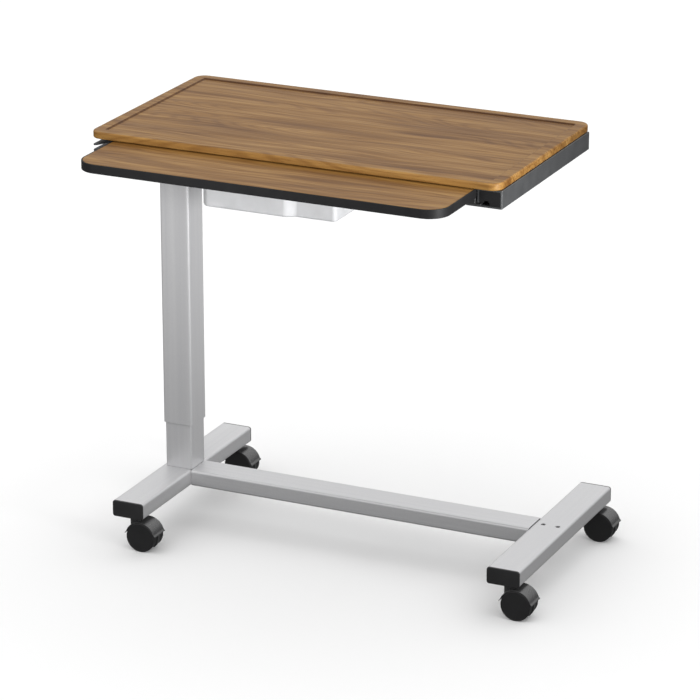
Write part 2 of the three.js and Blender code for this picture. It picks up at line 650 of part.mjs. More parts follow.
// The tray's outline in plan, moved inwards by an inset, its front towards -Y.
function trayOutline(inset) {
  const x0 = inset;
  const x1 = TRAY_WIDTH - inset;
  const back = TRAY_DEPTH - inset;
  const r = TRAY_CORNER - inset;
  const step = TRAY_BOW_SHARE * TRAY_WIDTH;
  const outline = new THREE.Shape();
  outline.absarc(x0 + r, r + inset - TRAY_BOW, r, Math.PI, 1.5 * Math.PI);
  for (let i = 0; i <= 6; i++)
    outline.lineTo(step + (i / 6) * TRAY_STEP, inset - TRAY_BOW * (1 - ease(i / 6)));
  outline.absarc(x1 - r / 2, r / 2 + inset, r / 2, 1.5 * Math.PI, 2 * Math.PI);
  outline.absarc(x1 - r, back - r, r, 0, 0.5 * Math.PI);
  outline.absarc(x0 + r, back - r, r, 0.5 * Math.PI, Math.PI);
  outline.closePath();
  return outline;
}

const trayX = -topHalf + TRAY_LEFT;
const trayTopZ = armBottomZ - HANGER_WALL - RUNNING_GAP - GAP;
const trayBottomZ = trayTopZ - TRAY_HEIGHT;

function storageTray() {
  const body = prism(trayOutline(0), trayBottomZ, trayTopZ);
  const room = prism(trayOutline(TRAY_WALL), trayBottomZ + TRAY_WALL, trayTopZ + OVERCUT);
  const rimY0 = TRAY_CORNER;
  const rimZ = trayTopZ - TRAY_RIM_HEIGHT;
  const left = box(-TRAY_RIM, OVERCUT, rimY0, TRAY_DEPTH - TRAY_CORNER, rimZ, trayTopZ);
  const right = left.clone().translate(TRAY_WIDTH + TRAY_RIM - OVERCUT, 0, 0);
  return cut(join(body, left, right), room);
}
add("storage_tray", storageTray(), trayFinish).position.set(trayX, -TRAY_FRONT, 0);

// A channel along Y that holds one rim of the tray: a top flange under the arms, a web and a bottom flange.
function hangerSection() {
  const reach = TRAY_RIM + RUNNING_GAP + HANGER_WALL;
  const z1 = armBottomZ - GAP;
  const z0 = trayTopZ - TRAY_RIM_HEIGHT - RUNNING_GAP - HANGER_WALL;
  return polygon([
    [-reach, z0],
    [-RUNNING_GAP, z0],
    [-RUNNING_GAP, z0 + HANGER_WALL],
    [-reach + HANGER_WALL, z0 + HANGER_WALL],
    [-reach + HANGER_WALL, z1 - HANGER_WALL],
    [HANGER_WIDTH - reach, z1 - HANGER_WALL],
    [HANGER_WIDTH - reach, z1],
    [-reach, z1],
  ]);
}
const hangerFront = -headDepth / 2;
const hanger = prismAlongY(hangerSection(), hangerFront, -hangerFront);
add("left_tray_hanger", hanger, darkSteelFinish).position.x = trayX;
const rightHanger = prismAlongY(mirrored(hangerSection()), hangerFront, -hangerFront);
add("right_tray_hanger", rightHanger, darkSteelFinish).position.x = trayX + TRAY_WIDTH;

// ---------- release lever ----------
const leverX0 = -topHalf + LEVER_FROM_EDGE;
const leverX1 = leverX0 + LEVER_WIDTH;
const leverTipY = topFront - LEVER_PAST_EDGE;
const pivotY = topFront + LEVER_PIVOT_BACK;
const pivotZ = topBottom - LEVER_DROP;

// A finger plate in plan: straight outer side, slanted front, from the tip back to a given place.
function fingerPlate(x0, x1, tipY, backY) {
  const plate = new THREE.Shape();
  const middle = (x0 + x1) / 2;
  plate.moveTo(x0 + FINGER_TIP, tipY);
  plate.bezierCurveTo(middle, tipY, middle, tipY + 0.75 * FINGER_SHOULDER, x1, tipY + FINGER_SHOULDER);
  plate.lineTo(x1, backY);
  plate.lineTo(x0, backY);
  plate.lineTo(x0, tipY + FINGER_TIP);
  plate.quadraticCurveTo(x0, tipY, x0 + FINGER_TIP, tipY);
  return plate;
}

function leverGuard() {
  const z1 = topBottom - GUARD_DROP;
  const z0 = z1 - GUARD_THICKNESS;
  const earX0 = leverX0 - GAP - EAR_THICKNESS;
  const earX1 = leverX1 + GAP + EAR_THICKNESS;
  const padY0 = pivotY - GUARD_PAD_FRONT;
  const padY1 = pivotY + GUARD_PAD_BACK;
  const plate = prism(fingerPlate(leverX0, leverX1, leverTipY, padY1), z0, z1);
  const pad = box(earX0, earX1, padY0, padY1, z0, topBottom - GAP);
  const earZ0 = pivotZ - HUB_RADIUS;
  const ears = [
    box(earX0, earX0 + EAR_THICKNESS, pivotY - HUB_RADIUS, pivotY + HUB_RADIUS, earZ0, z0 + OVERCUT),
    box(earX1 - EAR_THICKNESS, earX1, pivotY - HUB_RADIUS, pivotY + HUB_RADIUS, earZ0, z0 + OVERCUT),
  ];
  const hole = alongX(bar(PIVOT_RADIUS + GAP, earX0 - OVERCUT, earX1 + OVERCUT));
  return cut(join(plate, pad, ...ears), hole.translate(0, pivotY, pivotZ));
}
add("lever_guard", leverGuard(), blackFinish);

function releaseLever() {
  const z0 = pivotZ - LEVER_THICKNESS / 2;
  const plate = prism(fingerPlate(leverX0, leverX1, leverTipY, pivotY), z0, z0 + LEVER_THICKNESS);
  const hub = alongX(bar(HUB_RADIUS, leverX0, leverX1)).translate(0, pivotY, pivotZ);
  const hole = alongX(bar(PIVOT_RADIUS + GAP, leverX0 - OVERCUT, leverX1 + OVERCUT));
  return cut(join(plate, hub), hole.translate(0, pivotY, pivotZ));
}
add("release_lever", releaseLever(), blackFinish);
const pinEnd = EAR_THICKNESS + PIN_PROUD;
const pivotPin = alongX(bar(PIVOT_RADIUS, leverX0 - pinEnd, leverX1 + pinEnd, 16));
add("lever_pivot_pin", pivotPin.translate(0, pivotY, pivotZ), brightSteelFinish);

// ---------- origin: middle of the footprint, at the floor ----------
const extent = new THREE.Box3().setFromObject(table);
const middle = extent.getCenter(new THREE.Vector3());
for (const child of table.children) child.position.sub(new THREE.Vector3(middle.x, middle.y, extent.min.z));

export default table;
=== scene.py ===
# %% [markdown]
# An overbed table, built as a lesson in small steps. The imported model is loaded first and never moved.
# It says where every piece is and how far it may move, so no size below is fitted by eye. Then the
# pieces that show are made again with soft edges, each one a surface worked out with numpy, and every
# piece gets a finish made from shader nodes.

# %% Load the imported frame
import json
from math import radians

import bmesh
import bpy
import numpy as np
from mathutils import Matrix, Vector


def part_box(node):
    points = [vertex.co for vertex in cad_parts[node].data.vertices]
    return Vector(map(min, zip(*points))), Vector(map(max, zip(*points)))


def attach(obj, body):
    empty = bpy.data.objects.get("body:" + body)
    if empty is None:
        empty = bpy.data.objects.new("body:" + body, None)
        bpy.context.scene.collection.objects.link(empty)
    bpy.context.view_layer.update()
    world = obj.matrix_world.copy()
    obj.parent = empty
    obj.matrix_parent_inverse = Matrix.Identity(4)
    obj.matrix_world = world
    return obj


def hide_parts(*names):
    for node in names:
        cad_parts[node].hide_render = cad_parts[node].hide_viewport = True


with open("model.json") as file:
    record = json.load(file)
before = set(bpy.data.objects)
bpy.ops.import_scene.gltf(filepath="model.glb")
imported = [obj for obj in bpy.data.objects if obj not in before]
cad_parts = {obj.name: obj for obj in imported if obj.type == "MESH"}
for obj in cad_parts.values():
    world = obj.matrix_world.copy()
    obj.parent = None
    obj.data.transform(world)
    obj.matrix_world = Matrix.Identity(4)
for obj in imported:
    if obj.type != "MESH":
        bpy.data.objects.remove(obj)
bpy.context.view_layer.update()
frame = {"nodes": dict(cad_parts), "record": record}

MM = 0.001

# %% [markdown]
# The camera stands in front of the table and to its right, a little above the tops. Its place is given
# from the middle of the main top, because that is where it looks. A long lens from six metres keeps the
# edges of the tops nearly parallel.

# %% Camera
top_low, top_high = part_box("main_top")
top_middle = (top_low + top_high) / 2
CAMERA_RIGHT, CAMERA_BACK, CAMERA_HEIGHT = 2.4988, 5.3391, 2.4400
CAMERA_TURN, CAMERA_TILT = radians(24.934), radians(19.464)
SENSOR_WIDTH, LENS = 36.0, 182.68
camera_data = bpy.data.cameras.new("camera")
camera_data.sensor_width = SENSOR_WIDTH
camera_data.lens = LENS
camera = bpy.data.objects.new("camera", camera_data)
camera.location = (top_middle.x + CAMERA_RIGHT, top_middle.y - CAMERA_BACK, CAMERA_HEIGHT)
camera.rotation_euler = (radians(90) - CAMERA_TILT, 0.0, CAMERA_TURN)
bpy.context.scene.collection.objects.link(camera)
bpy.context.scene.camera = camera
print("camera at", [round(value, 3) for value in camera.location])

# %% [markdown]
# ## Making surfaces
#
# Almost every piece of this table is a stack of rings: a board is a rounded rectangle that grows and
# shrinks as it rises, a tube is one that goes up the outside and down the inside, and a wheel is a stack
# of circles. So one helper joins a stack of rings into a mesh. It works on whole arrays: the corner
# numbers of all faces come from shifting one grid of numbers by one row and by one column.

# %% Skin over a stack of rings
def skin(name, rings, loop=False):
    """A closed mesh over a stack of rings.

    rings has the shape (rings, points, 3). Face (i, j) joins points j and j + 1 of ring i to the same
    two points of ring i + 1. With loop, the last ring joins the first; otherwise the first and the last
    ring are each closed by one flat face. Rings that turn counterclockwise, seen from the way the stack
    rises, give faces that point outwards."""
    rows, points = rings.shape[:2]
    number = np.arange(rows * points).reshape(rows, points)
    lower = number if loop else number[:-1]
    upper = np.roll(number, -1, axis=0) if loop else number[1:]
    faces = np.stack([lower, np.roll(lower, -1, 1), np.roll(upper, -1, 1), upper], axis=-1)
    faces = faces.reshape(-1, 4).tolist()
    if not loop:
        faces += [number[0, ::-1].tolist(), number[-1].tolist()]
    mesh = bpy.data.meshes.new(name)
    mesh.from_pydata(rings.reshape(-1, 3).tolist(), [], faces)
    mesh.update()
    made = bpy.data.objects.new(name, mesh)
    bpy.context.scene.collection.objects.link(made)
    return made


# %% Rings round rectangles
def rounded_rings(length, depth, corner, per_corner=10):
    """Rings of points round rectangles with rounded corners, one ring for each length, depth and corner.

    Each corner is a quarter circle about a centre that lies one corner radius in from both sides:
    x = (length / 2 - corner) * side + corner * cos(turn), and the same for y with sin(turn)."""
    length, depth, corner = (np.atleast_1d(v)[:, None, None]
                             for v in np.broadcast_arrays(length, depth, corner))
    quarter = np.arange(4)[:, None]
    turn = np.linspace(0, np.pi / 2, per_corner) + quarter * np.pi / 2
    side_x = np.where((quarter == 0) | (quarter == 3), 1, -1)
    side_y = np.where(quarter < 2, 1, -1)
    x = (length / 2 - corner) * side_x + corner * np.cos(turn)
    y = (depth / 2 - corner) * side_y + corner * np.sin(turn)
    return np.stack([x, y], axis=-1).reshape(len(x), -1, 2)


# %% Rounded edges
def round_over(radius, steps=6):
    """A quarter round on a square edge, from the flat face to the upright one.

    Gives how far in from the side, radius * (1 - sin(turn)), and how far along it,
    radius * (1 - cos(turn)), while turn goes from 0 to a quarter turn."""
    turn = np.linspace(0, np.pi / 2, steps)
    return radius * (1 - np.sin(turn)), radius * (1 - np.cos(turn))


def board_profile(low, high, lower_radius, upper_radius, steps=6):
    """How far in and how high each ring of a board is: a round-over, the upright side, a round-over."""
    inset_low, rise_low = round_over(lower_radius, steps)
    inset_high, rise_high = round_over(upper_radius, steps)
    inset = np.concatenate([inset_low, inset_high[::-1]])
    height = np.concatenate([low + rise_low, high - rise_high[::-1]])
    return inset, height


def ease(share):
    """Half a cosine wave from 0 to 1: a slope that starts and ends level."""
    return 0.5 - 0.5 * np.cos(np.pi * np.clip(share, 0, 1))


# %% Laying a stack down
def laid(flat, along, axis="z"):
    """Rings with their third coordinate, turned so that the stack rises along the axis named.

    The three coordinates are moved round in a cycle, which turns a shape but never mirrors it."""
    along = np.broadcast_to(np.asarray(along)[:, None, None], (*flat.shape[:2], 1))
    return np.roll(np.concatenate([flat, along], axis=-1), {"z": 0, "x": 1, "y": 2}[axis], axis=-1)


def box_of(node):
    """The low corner, high corner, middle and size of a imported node, as arrays in metres."""
    low, high = (np.array(corner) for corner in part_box(node))
    return low, high, (low + high) / 2, high - low


# %% [markdown]
# ## Putting a piece in its place
#
# Every new piece stands for a imported node: it rides on the same body, gets the finish given to it,
# and hides the node. A weighted normal modifier shades the large flats as true flats and leaves
# the turn of the light to the narrow rounded edges, as on a real board or tube.

# %% Seat a piece
node_body = {node: body for body, nodes in frame["record"]["behaviour"]["bodies"].items() for node in nodes}
SHARP_ANGLE = radians(38)


def seat(piece, finish, node):
    """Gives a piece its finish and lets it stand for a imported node."""
    piece.data.materials.clear()
    piece.data.materials.append(finish)
    piece.data.shade_smooth()
    piece.data.set_sharp_from_angle(angle=SHARP_ANGLE)
    flats = piece.modifiers.new("true_flats", "WEIGHTED_NORMAL")
    flats.keep_sharp = True
    flats.weight = 90
    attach(piece, node_body[node])
    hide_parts(node)
    size = [round(side / MM, 1) for side in piece.dimensions]
    print(piece.name, size, "mm,", len(piece.data.polygons), "faces")


# %% [markdown]
# ## Finishes
#
# All patterns read Object coordinates. Every object sits at the origin, so these are the table's own
# metres, and a streak or a speck has its real size on every piece. The small helpers below add one node
# each. Colours are given as on a paint card, 0 to 255, and turned into the shader's linear values.

# %% Node helpers
def paint(red, green, blue):
    """A linear colour from one in 0 to 255: near black the curve is a straight line, above it a power."""
    share = np.array([red, green, blue]) / 255
    linear = np.where(share <= 0.04045, share / 12.92, ((share + 0.055) / 1.055) ** 2.4)
    return (*(float(value) for value in linear), 1.0)


def new_finish(name, colour, roughness, metallic=0.0, specular=0.5):
    """A material, its node tree and its shader, with the values that are the same all over."""
    made = bpy.data.materials.new(name)
    made.use_nodes = True
    shader = made.node_tree.nodes["Principled BSDF"]
    shader.inputs["Base Color"].default_value = colour
    shader.inputs["Roughness"].default_value = roughness
    shader.inputs["Metallic"].default_value = metallic
    shader.inputs["Specular IOR Level"].default_value = specular
    made.diffuse_color = colour
    return made, made.node_tree, shader


def stretched(tree, scale):
    """Object coordinates multiplied by a scale along each axis: a small factor draws a pattern out."""
    coordinates = tree.nodes.new("ShaderNodeTexCoord")
    mapping = tree.nodes.new("ShaderNodeMapping")
    mapping.inputs["Scale"].default_value = scale
    tree.links.new(coordinates.outputs["Object"], mapping.inputs["Vector"])
    return mapping.outputs["Vector"]


def speckle(tree, vector, scale=1.0, detail=2.0):
    """Soft cloudy noise between 0 and 1 at a place."""
    node = tree.nodes.new("ShaderNodeTexNoise")
    node.inputs["Scale"].default_value = scale
    node.inputs["Detail"].default_value = detail
    tree.links.new(vector, node.inputs["Vector"])
    return node.outputs["Fac"]


def between(tree, factor, low, high, to_low, to_high):
    """A value stretched from one range to another, held at the ends."""
    node = tree.nodes.new("ShaderNodeMapRange")
    for name, value in zip(("From Min", "From Max", "To Min", "To Max"), (low, high, to_low, to_high)):
        node.inputs[name].default_value = value
    tree.links.new(factor, node.inputs["Value"])
    return node.outputs["Result"]


def ramp(tree, factor, stops):
    """A colour read from a row of stops, each a place from 0 to 1 and a colour."""
    node = tree.nodes.new("ShaderNodeValToRGB")
    elements = node.color_ramp.elements
    for place, _ in stops[1:-1]:
        elements.new(place)
    for element, (place, colour) in zip(elements, stops):
        element.position = place
        element.color = colour
    tree.links.new(factor, node.inputs["Fac"])
    return node.outputs["Color"]


def blend_colours(tree, factor, first, second, kind="MIX"):
    """The first colour changed towards the second as far as a pattern says."""
    node = tree.nodes.new("ShaderNodeMix")
    node.data_type = "RGBA"
    node.blend_type = kind
    tree.links.new(factor, node.inputs["Factor"])
    for name, value in (("A", first), ("B", second)):
        socket = next(s for s in node.inputs if s.name == name and s.type == "RGBA")
        if isinstance(value, tuple):
            socket.default_value = value
        else:
            tree.links.new(value, socket)
    return next(s for s in node.outputs if s.type == "RGBA")


def bump(tree, shader, height, depth):
    """Fine relief that is too small for geometry; depth is the height in metres of a step from 0 to 1."""
    node = tree.nodes.new("ShaderNodeBump")
    node.inputs["Distance"].default_value = depth
    tree.links.new(height, node.inputs["Height"])
    tree.links.new(node.outputs["Normal"], shader.inputs["Normal"])


# %% [markdown]
# The tops are board faced with a wood-grain film: walnut brown with long darker streaks along the table,
# a few pointed figures where the growth rings were cut at a slant, and short fine pores. Real film is
# printed, so a pattern on a flat picture would do, but a 3-D pattern also runs correctly round the
# rounded edges. The streaks are noise drawn out along X. The figures are the level lines of a slower
# noise, found with a sine. A slow warp bends both, so that no line is quite straight. On the slope of the
# recess the colour is darkened as painted shade, standing in for the shadow line under the lip.

# %% Wood-grain finish
def wood_finish(name, shift):
    """Walnut-brown film; shift moves the pattern, so that two boards don't look cut from one sheet."""
    made, tree, shader = new_finish(name, paint(140, 102, 50), 0.42)
    shader.inputs["Specular IOR Level"].default_value = WOOD_SPECULAR
    coordinates = tree.nodes.new("ShaderNodeTexCoord")
    place = tree.nodes.new("ShaderNodeMapping")
    place.inputs["Location"].default_value = shift
    tree.links.new(coordinates.outputs["Object"], place.inputs["Vector"])

    def scaled(vector, scale):
        node = tree.nodes.new("ShaderNodeVectorMath")
        node.operation = "MULTIPLY"
        node.inputs[1].default_value = scale
        tree.links.new(vector, node.inputs[0])
        return node.outputs[0]

    slow = speckle(tree, scaled(place.outputs["Vector"], (3.0, 9.0, 9.0)), detail=2.0)
    sideways = tree.nodes.new("ShaderNodeCombineXYZ")
    tree.links.new(between(tree, slow, 0.0, 1.0, -0.020, 0.020), sideways.inputs["Y"])
    warped = tree.nodes.new("ShaderNodeVectorMath")
    tree.links.new(place.outputs["Vector"], warped.inputs[0])
    tree.links.new(sideways.outputs["Vector"], warped.inputs[1])
    grain_place = warped.outputs[0]

    broad = speckle(tree, scaled(grain_place, (2.6, 34.0, 34.0)), detail=3.0)
    streaks = speckle(tree, scaled(grain_place, (7.0, 170.0, 170.0)), detail=4.0)
    pores = speckle(tree, scaled(grain_place, (55.0, 1300.0, 1300.0)), detail=2.0)
    rings = speckle(tree, scaled(grain_place, (1.6, 11.0, 11.0)), detail=1.0)
    lines = tree.nodes.new("ShaderNodeMath")
    lines.operation = "SINE"
    tree.links.new(between(tree, rings, 0.0, 1.0, 0.0, 150.0), lines.inputs[0])

    colour = ramp(tree, broad, [(0.32, WOOD_DARK), (0.50, WOOD_MIDDLE), (0.66, WOOD_LIGHT)])
    streak_depth = between(tree, streaks, 0.36, 0.66, 0.62, 0.0)
    colour = blend_colours(tree, streak_depth, colour, WOOD_STREAK, "MULTIPLY")
    line_depth = between(tree, lines.outputs[0], -0.1, 1.0, 0.0, 0.42)
    colour = blend_colours(tree, line_depth, colour, WOOD_STREAK, "MULTIPLY")
    pore_depth = between(tree, pores, 0.60, 0.78, 0.0, 0.55)
    colour = blend_colours(tree, pore_depth, colour, WOOD_PORE, "MULTIPLY")
    # Painted shade: the slope of the recess is multiplied towards a darker brown, standing in for the shadow
    # line under the lip.
    edge = tree.nodes.new("ShaderNodeAttribute")
    edge.attribute_name = "recess_painted_shade"
    recess_shade_depth = between(tree, edge.outputs["Fac"], 0.0, 1.0, 0.0, 0.85)
    colour = blend_colours(tree, recess_shade_depth, colour, WOOD_RECESS_SHADE, "MULTIPLY")
    tree.links.new(colour, shader.inputs["Base Color"])
    tree.links.new(between(tree, streaks, 0.3, 0.7, 0.50, 0.40), shader.inputs["Roughness"])
    bump(tree, shader, pore_depth, -0.00004)
    return made


WOOD_SPECULAR = 0.20
WOOD_DARK, WOOD_MIDDLE, WOOD_LIGHT = paint(119, 82, 35), paint(145, 107, 54), paint(160, 122, 67)
# The first two colours are grain; the third is a painted shade for the slope of the recess.
WOOD_STREAK, WOOD_PORE, WOOD_RECESS_SHADE = paint(196, 178, 158), paint(150, 128, 108), paint(140, 118, 96)
main_wood = wood_finish("wood_main_top", (0.0, 0.0, 0.0))
lower_wood = wood_finish("wood_lower_top", (1.7, 0.43, 0.9))
print("wood finishes:", main_wood.name, lower_wood.name)

# %% [markdown]
# The moulded and extruded black parts differ mostly in gloss: a satin edge band, a powder coat on the
# rails with the fine pebble that the powder leaves, and smoother moulded nylon on the casters. One
# helper makes them all: a base colour that wanders by a few shades, a roughness that wanders with it,
# and a fine relief at the size that the process leaves.

# %% Plain moulded and coated finishes
def fine_finish(name, dark, light, roughness, grain, relief, metallic=0.0, specular=0.5):
    """A finish with a fine grain: colour between dark and light, roughness as a pair, grain per metre."""
    made, tree, shader = new_finish(name, light, roughness[0], metallic, specular)
    cloud = speckle(tree, stretched(tree, (1.0, 1.0, 1.0)), CLOUDS_PER_METRE, detail=3.0)
    grains = speckle(tree, stretched(tree, (1.0, 1.0, 1.0)), grain, detail=1.0)
    tree.links.new(ramp(tree, cloud, [(0.3, dark), (0.7, light)]), shader.inputs["Base Color"])
    tree.links.new(between(tree, grains, 0.2, 0.8, *roughness), shader.inputs["Roughness"])
    bump(tree, shader, grains, relief)
    return made


CLOUDS_PER_METRE = 35.0
band_black = fine_finish(
    "satin_edge_band", paint(25, 25, 26), paint(30, 30, 31), (0.46, 0.56), 1500.0, 0.00002, specular=0.22)
rail_grey = fine_finish(
    "rail_powder_coat", paint(60, 61, 62), paint(68, 69, 70), (0.34, 0.46), 900.0, 0.00004)
rail_cap_black = fine_finish(
    "rail_cap_plastic", paint(24, 24, 25), paint(29, 29, 30), (0.42, 0.55), 1200.0, 0.00003, specular=0.3)
cap_black = fine_finish(
    "end_cap_plastic", paint(36, 36, 37), paint(43, 43, 44), (0.42, 0.55), 1300.0, 0.00003)
hood_black = fine_finish(
    "caster_hood_nylon", paint(52, 52, 53), paint(58, 58, 59), (0.22, 0.30), 1100.0, 0.00003, specular=1.0)
wheel_black = fine_finish(
    "caster_wheel_nylon", paint(32, 32, 33), paint(38, 38, 39), (0.38, 0.50), 1300.0, 0.00003)
tray_white = fine_finish(
    "milky_tray", paint(200, 201, 203), paint(210, 211, 213), (0.28, 0.40), 700.0, 0.00003)
nylon_white = fine_finish(
    "white_nylon", paint(205, 205, 200), paint(220, 220, 216), (0.40, 0.55), 900.0, 0.00004)
frame_black = fine_finish(
    "frame_paint", paint(40, 40, 42), paint(48, 48, 50), (0.38, 0.52), 800.0, 0.00005)
bright_steel = fine_finish(
    "polished_steel", paint(190, 190, 192), paint(215, 215, 217), (0.14, 0.26), 1800.0, 0.00001, metallic=1.0)
tray_shader = tray_white.node_tree.nodes["Principled BSDF"]
tray_shader.inputs["Subsurface Weight"].default_value = 0.25
tray_shader.inputs["Subsurface Radius"].default_value = (0.006, 0.006, 0.006)
print("moulded and coated finishes made")

# %% [markdown]
# The column and the base are steel tube with a silver coat: a clear lacquer full of fine metal flakes.
# It mirrors softly, so it is mostly metallic with a broad highlight, and the flakes break up the shade a
# little. Very long faint streaks remain from the drawing of the tube. They run along each tube, so the
# finish is made three times, drawn out along X, Y and Z.

# %% Silver finish on the tubes
def silver_finish(name, scale):
    """Silver coat over drawn tube; scale draws the streaks out along the tube."""
    made, tree, shader = new_finish(name, SILVER, 0.36, SILVER_METALLIC)
    streak = speckle(tree, stretched(tree, scale), 1.0, detail=3.0)
    flakes = speckle(tree, stretched(tree, (1.0, 1.0, 1.0)), FLAKES_PER_METRE, detail=0.0)
    colour = ramp(tree, streak, [(0.25, SILVER_DARK), (0.75, SILVER)])
    flake_depth = between(tree, flakes, 0.35, 0.65, 0.16, 0.0)
    colour = blend_colours(tree, flake_depth, colour, paint(150, 150, 152), "MIX")
    tree.links.new(colour, shader.inputs["Base Color"])
    tree.links.new(between(tree, streak, 0.2, 0.8, 0.32, 0.42), shader.inputs["Roughness"])
    bump(tree, shader, flakes, 0.00001)
    return made


SILVER, SILVER_DARK, SILVER_METALLIC = paint(214, 214, 215), paint(206, 206, 208), 0.35
FLAKES_PER_METRE = 2200.0
ALONG, ACROSS = 1.5, 160.0
silver_x = silver_finish("silver_along_x", (ALONG, ACROSS, ACROSS))
silver_y = silver_finish("silver_along_y", (ACROSS, ALONG, ACROSS))
silver_z = silver_finish("silver_along_z", (ACROSS, ACROSS, ALONG))
print("silver finishes made")

# %% [markdown]
# ## The tops
#
# The main top is a board with a raised lip all round that keeps a spill on the table. It could be a box
# with a bevel, but the lip, its soft inner slope and the rounded outer edge are one continuous section,
# so the section is carried round a rounded rectangle instead: a list of distances in from the edge, and
# a height for each. The corner radius shrinks by the same distance, as a router's path does, but never
# below the radius of the cutter.

# %% Main top
TOP_CORNER, LIP_WIDTH, LIP_SLOPE, LIP_HEIGHT = 21 * MM, 20 * MM, 3.5 * MM, 2.5 * MM
TOP_EDGE_ABOVE, TOP_EDGE_BELOW, CUTTER_RADIUS = 3.2 * MM, 2.0 * MM, 2.0 * MM


def board_rings(node, corner, inset, height):
    """The rings of a board round the box of a node: each is the outline moved in by an inset."""
    _, _, middle, size = box_of(node)
    radius = np.maximum(corner - inset, CUTTER_RADIUS)
    flat = rounded_rings(size[0] - 2 * inset, size[1] - 2 * inset, radius) + middle[:2]
    return laid(flat, height)


low, high, *_ = box_of("main_top")
inset, height = board_profile(low[2], high[2], TOP_EDGE_BELOW, TOP_EDGE_ABOVE)
share = np.linspace(0, 1, 9)
inset = np.concatenate([inset, LIP_WIDTH + LIP_SLOPE * share])
height = np.concatenate([height, high[2] - LIP_HEIGHT * ease(share)])
main_top = skin("main_top_board", board_rings("main_top", TOP_CORNER, inset, height))
# Painted shade: the points on the slope of the recess are marked here, and the wood finish darkens them.
shaded_recess_slope = (inset > LIP_WIDTH) & (height > high[2] - LIP_HEIGHT)
points_in_ring = len(main_top.data.vertices) // len(inset)
recess_painted_shade = main_top.data.attributes.new("recess_painted_shade", "FLOAT", "POINT")
recess_painted_shade.data.foreach_set("value", np.repeat(shaded_recess_slope.astype(np.float32), points_in_ring))
seat(main_top, main_wood, "main_top")

# %% [markdown]
# The lower top is a flat board with a black plastic band pressed round its edge. The band is a loop, so
# its section goes up the outside, over, and down the inside, and its last ring joins the first. Both
# have a fine round-over, small enough to show only as a thin line of light.

# %% Lower top and its edge band
LOWER_CORNER, BAND_THICKNESS, FILM_EDGE, BAND_EDGE = 38 * MM, 2 * MM, 0.4 * MM, 0.9 * MM
low, high, *_ = box_of("lower_top")
board_corner = LOWER_CORNER - BAND_THICKNESS
inset, height = board_profile(low[2], high[2], FILM_EDGE, FILM_EDGE, steps=4)
lower_top = skin("lower_top_board", board_rings("lower_top", board_corner, inset, height))
seat(lower_top, lower_wood, "lower_top")


def hollow_profile(low, high, wall, edge, steps=4):
    """The section of a wall, up the outside and down the inside, with both rims rounded over.

    The inside is the outside turned over: its insets are the wall less the outer insets."""
    inset, height = board_profile(low, high, edge, edge, steps)
    return np.concatenate([inset, wall - inset[::-1]]), np.concatenate([height, height[::-1]])


inset, height = hollow_profile(low[2], high[2], BAND_THICKNESS, BAND_EDGE, steps=5)
band = skin("lower_top_banding", board_rings("lower_top_edge_band", LOWER_CORNER, inset, height), loop=True)
seat(band, band_black, "lower_top_edge_band")

# %% [markdown]
# ## Tubes
#
# The column, the feet, the cross bar and the two arms are rectangular steel tube. Each is the same
# hollow section of a wall, laid along the tube. The rounded corners of the tube give the bright line
# that runs down a column, so they are real geometry and not a trick of the shading.

# %% Hollow tube from a node's box
def hollow_tube(name, node, axis, corner, wall):
    """A rectangular tube that fills a node's box along an axis, with a rim softened by a fine edge."""
    low, high, middle, size = box_of(node)
    i = "xyz".index(axis)
    across, upward = (i + 1) % 3, (i + 2) % 3
    inset, along = hollow_profile(low[i], high[i], wall, RIM_EDGE)
    inner_corner = np.maximum(corner - inset, MITRE_RADIUS)
    flat = rounded_rings(size[across] - 2 * inset, size[upward] - 2 * inset, inner_corner, 8)
    return skin(name, laid(flat + middle[[across, upward]], along, axis), loop=True)


RIM_EDGE, MITRE_RADIUS = 0.3 * MM, 0.5 * MM
COLUMN_CORNER, INNER_CORNER, FOOT_CORNER, ARM_CORNER = 4 * MM, 3 * MM, 5 * MM, 3 * MM
OUTER_WALL, INNER_WALL, FOOT_WALL, ARM_WALL = 1.5 * MM, 2 * MM, 2 * MM, 2 * MM
outer_column = hollow_tube("column_outer_tube", "outer_column", "z", COLUMN_CORNER, OUTER_WALL)
seat(outer_column, silver_z, "outer_column")
inner_column = hollow_tube("column_inner_tube", "inner_column", "z", INNER_CORNER, INNER_WALL)
seat(inner_column, silver_z, "inner_column")
cross_bar = hollow_tube("cross_bar_tube", "cross_bar", "x", FOOT_CORNER, FOOT_WALL)
seat(cross_bar, silver_x, "cross_bar")
for place in ("front", "back"):
    arm = hollow_tube(place + "_arm_tube", place + "_arm", "x", ARM_CORNER, ARM_WALL)
    seat(arm, frame_black, place + "_arm")

# %% [markdown]
# The feet are drilled: two screws hold the cross bar to the right foot and show as small dark holes in
# its top, and each caster's stem goes up through the underside. Holes in a curved grid are awkward to
# lay out by hand, so a Boolean modifier cuts them with round bars, and its result is kept as the mesh.

# %% Drill holes
def round_bar(radius, low, high, at, sides=24):
    """A round bar from low to high: two rings of points at radius * (cos, sin) of the turn."""
    turn = np.linspace(0, 2 * np.pi, sides, endpoint=False)
    ring = np.stack([np.cos(turn), np.sin(turn)], axis=-1) * radius + np.asarray(at)[:2]
    return skin("cutter", laid(np.stack([ring, ring]), [low, high]))


def combine(piece, tools, operation):
    """Cuts tools out of a piece, or joins them to it, and keeps the result as the piece's mesh."""
    for tool in tools:
        step = piece.modifiers.new("step", "BOOLEAN")
        step.operation, step.solver, step.object = operation, "EXACT", tool
        evaluated = piece.evaluated_get(bpy.context.evaluated_depsgraph_get())
        mesh = bpy.data.meshes.new_from_object(evaluated)
        piece.modifiers.remove(step)
        old, piece.data = piece.data, mesh
        mesh.name = piece.name
        bpy.data.meshes.remove(old)
        shape = tool.data
        bpy.data.objects.remove(tool)
        bpy.data.meshes.remove(shape)


